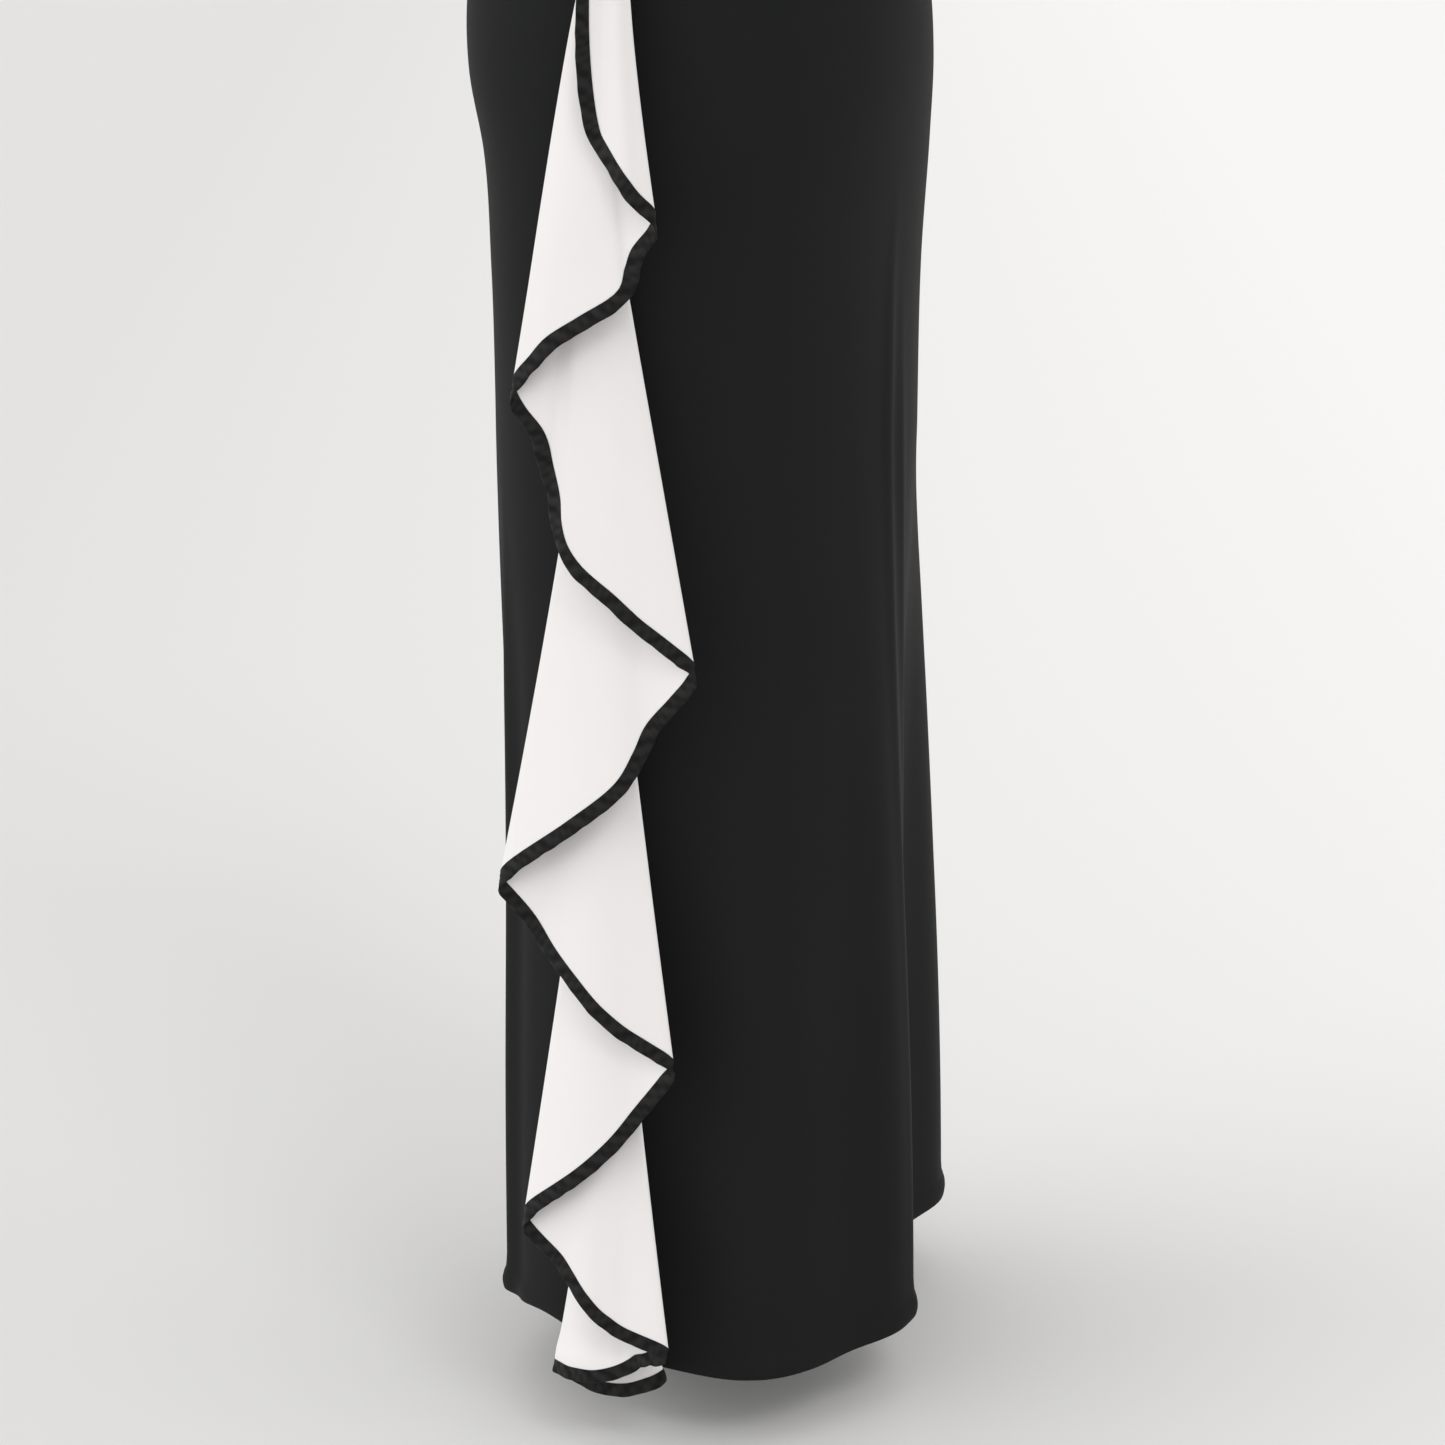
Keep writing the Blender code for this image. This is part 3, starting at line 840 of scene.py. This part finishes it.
# %% [markdown]
# ### Black crepe jersey
#
# Crepe jersey is a close knit with a dry face. It is nearly black where it is seen
# straight on and greyer where the eye meets it at a slant. A rough surface that mirrors
# very little gives both, so no sheen is added. The colour has a faint green in it.

# %% Black crepe jersey
JERSEY_DEEP = (0.0122, 0.0131, 0.0129)
JERSEY_PALE = (0.0148, 0.0157, 0.0154)
JERSEY_GLOSS = 0.045
JERSEY_ROUGHNESS = 0.64
JERSEY_ROUGHNESS_RANGE = (0.54, 0.70)
JERSEY_PATCH_SCALE = 9.0
JERSEY_GRAIN_SCALE = 1500.0
JERSEY_RIB_SCALE = 520.0
JERSEY_RIB_HEIGHT = 0.00003
JERSEY_GRAIN_HEIGHT = 0.00005


def black_jersey():
    """The finish of the front and the back."""
    made, tree, shader = new_finish(
        "black crepe jersey", JERSEY_ROUGHNESS, NO_SHEEN, JERSEY_GLOSS)
    uv = add(tree, "ShaderNodeTexCoord").outputs["UV"]
    large = noise(tree, uv, JERSEY_PATCH_SCALE)
    grain = noise(tree, uv, JERSEY_GRAIN_SCALE, FINE_DETAIL)
    ribs = bands(tree, uv, JERSEY_RIB_SCALE, "X")
    tree.links.new(blend(tree, large, JERSEY_DEEP, JERSEY_PALE), shader.inputs["Base Color"])
    rough = between(tree, grain, *JERSEY_ROUGHNESS_RANGE)
    tree.links.new(rough, shader.inputs["Roughness"])
    bump(tree, shader, [(ribs, JERSEY_RIB_HEIGHT), (grain, JERSEY_GRAIN_HEIGHT)])
    print(made.name, "has", len(tree.nodes), "nodes")
    return made


jersey = black_jersey()
dress(front, jersey)
dress(back, jersey)

# %% [markdown]
# ### White double-faced crepe
#
# The ruffle is a smooth, matte white crepe, a little warm in its shadows. It could be
# plain white, but a white that changes softly from place to place looks like cloth, and
# a little sheen stands for its fine nap.

# %% White crepe
CREPE_DEEP = (0.820, 0.800, 0.797)
CREPE_PALE = (0.860, 0.843, 0.840)
CREPE_SHEEN = 0.10
CREPE_GLOSS = 0.30
CREPE_ROUGHNESS = 0.8
CREPE_ROUGHNESS_RANGE = (0.72, 0.88)
CREPE_PATCH_SCALE = 6.0
CREPE_GRAIN_SCALE = 1100.0
CREPE_WEFT_SCALE = 700.0
CREPE_WEFT_HEIGHT = 0.00002
CREPE_GRAIN_HEIGHT = 0.00004


def white_crepe():
    """The finish of the ruffle, the same on both of its faces."""
    made, tree, shader = new_finish(
        "white double crepe", CREPE_ROUGHNESS, CREPE_SHEEN, CREPE_GLOSS)
    uv = add(tree, "ShaderNodeTexCoord").outputs["UV"]
    large = noise(tree, uv, CREPE_PATCH_SCALE)
    grain = noise(tree, uv, CREPE_GRAIN_SCALE, FINE_DETAIL)
    weft = bands(tree, uv, CREPE_WEFT_SCALE, "Y")
    tree.links.new(blend(tree, large, CREPE_DEEP, CREPE_PALE), shader.inputs["Base Color"])
    rough = between(tree, grain, *CREPE_ROUGHNESS_RANGE)
    tree.links.new(rough, shader.inputs["Roughness"])
    bump(tree, shader, [(weft, CREPE_WEFT_HEIGHT), (grain, CREPE_GRAIN_HEIGHT)])
    print(made.name, "has", len(tree.nodes), "nodes")
    return made


dress(ruffle, white_crepe())

# %% [markdown]
# ### Black satin
#
# The binding is satin cut on the bias: smoother than the jersey, with fine slanting
# threads that catch the light on each pucker. The puckers are real shapes in the mesh,
# but they are so low that light alone hardly shows them. The finish therefore reads how
# high each one is. It paints shade into the black of each hollow and a highlight onto the
# black of each top, and it is glossier on the top than in the hollow.

# %% Black satin
# The satin's black with painted shade for the hollows of the puckers and a painted highlight for
# their tops.
SATIN_HOLLOW_PAINTED_SHADE = (0.0020, 0.0022, 0.0024)
SATIN_TOP_PAINTED_HIGHLIGHT = (0.0150, 0.0152, 0.0148)
SATIN_GLOSS = 0.16
SATIN_ROUGHNESS = 0.5
SATIN_ROUGHNESS_RANGE = (0.62, 0.38)
SATIN_GRAIN_SCALE = 900.0
SATIN_THREAD_SCALE = 900.0
SATIN_THREAD_HEIGHT = 0.00003
SATIN_GRAIN_HEIGHT = 0.00006


def black_satin():
    """The finish of the binding."""
    made, tree, shader = new_finish("black satin", SATIN_ROUGHNESS, NO_SHEEN, SATIN_GLOSS)
    uv = add(tree, "ShaderNodeTexCoord").outputs["UV"]
    grain = noise(tree, uv, SATIN_GRAIN_SCALE, FINE_DETAIL)
    threads = bands(tree, uv, SATIN_THREAD_SCALE, "DIAGONAL")
    pucker_shade = add(tree, "ShaderNodeAttribute", attribute_name="pucker_shade").outputs["Fac"]
    # The pucker mask paints shade into each hollow and a highlight onto each top.
    tree.links.new(blend(tree, pucker_shade, SATIN_HOLLOW_PAINTED_SHADE, SATIN_TOP_PAINTED_HIGHLIGHT), shader.inputs["Base Color"])
    rough = between(tree, pucker_shade, *SATIN_ROUGHNESS_RANGE)
    tree.links.new(rough, shader.inputs["Roughness"])
    bump(tree, shader, [(threads, SATIN_THREAD_HEIGHT), (grain, SATIN_GRAIN_HEIGHT)])
    print(made.name, "has", len(tree.nodes), "nodes")
    return made


dress(binding, black_satin())

# %% [markdown]

# %% [markdown]
# ## The floor
#
# The studio is a plain pale floor that runs far back, so that it fills the picture. Its
# paper has a painted fall of light: its colour is painted paler along one direction and
# darker against it, as light falls on a lit backdrop. The hem hangs clear of it. A flat
# plane is enough here, because only its colour and the shadow show.

# %% Floor
FLOOR_DROP = 0.062
FLOOR_SIDE = 160
# The pale paper with a painted fall of light: lighter towards this direction, darker away from it.
PAPER_PAINTED_LIGHT_TOWARDS = (0.375, -0.927, 0.0)
PAPER_SLOPE = 0.55
PAPER_MIDDLE = 0.5
PAPER_PAINTED_SHADE = (0.77, 0.77, 0.77)
PAPER_PAINTED_LIGHT = (0.935, 0.935, 0.93)
PAPER_ROUGHNESS = 0.9
PAPER_GLOSS = 0.2
bpy.ops.object.select_all(action="DESELECT")
bpy.ops.mesh.primitive_plane_add(size=FLOOR_SIDE, location=(0, 0, -LENGTH - FLOOR_DROP))
floor = bpy.context.object
floor.name = "floor"
paper, tree, shader = new_finish("pale paper", PAPER_ROUGHNESS, NO_SHEEN, PAPER_GLOSS)
place = add(tree, "ShaderNodeTexCoord").outputs["Object"]
across = add(tree, "ShaderNodeVectorMath", operation="DOT_PRODUCT")
across.inputs[1].default_value = PAPER_PAINTED_LIGHT_TOWARDS
tree.links.new(place, across.inputs[0])
shade = add(tree, "ShaderNodeMath", operation="MULTIPLY_ADD", use_clamp=True)
shade.inputs[1].default_value = PAPER_SLOPE
shade.inputs[2].default_value = PAPER_MIDDLE
tree.links.new(across.outputs["Value"], shade.inputs[0])
# Painted light and shade across the floor's colour.
tree.links.new(blend(tree, shade.outputs[0], PAPER_PAINTED_SHADE, PAPER_PAINTED_LIGHT),
               shader.inputs["Base Color"])
floor.data.materials.append(paper)
print("the floor lies", FLOOR_DROP, "m below the middle of the hem")

# %% [markdown]
# ## Light
#
# Soft light comes from all round, as from the walls of a white studio. A very wide light
# from the back left draws pale edges on the black cloth, and a narrower one from the
# front right, from above, gives the ruffle's folds their small shadows. Sun lights are
# used, because they light the wide floor evenly, which a lamp close by does not.

# %% Light
WORLD_COLOUR = (1.0, 0.99, 0.975)
WORLD_STRENGTH = 0.80
LIGHT_DISTANCE = 4
LIGHTS = [
    # name, comes_from, strength, softness
    ("wide light from the back left", (-0.50, 0.83, 0.30), 1.20, 60),
    ("light from the upper right", (-0.45, -0.50, 0.75), 0.36, 18),
]
world = bpy.context.scene.world or bpy.data.worlds.new("studio")
bpy.context.scene.world = world
world.use_nodes = True
sky = world.node_tree.nodes["Background"]
sky.inputs["Color"].default_value = (*WORLD_COLOUR, 1)
sky.inputs["Strength"].default_value = WORLD_STRENGTH
for name, (x, y, z), strength, softness in LIGHTS:
    stands_at = [LIGHT_DISTANCE * part for part in (x, y, z)]
    bpy.ops.object.light_add(type="SUN", location=stands_at)
    light = bpy.context.object
    light.name = name
    light.data.energy = strength
    light.data.angle = math.radians(softness)
    light.rotation_euler = (math.atan2(math.hypot(x, y), z), 0, math.atan2(x, -y))
print("lights:", [name for name, *_ in LIGHTS])
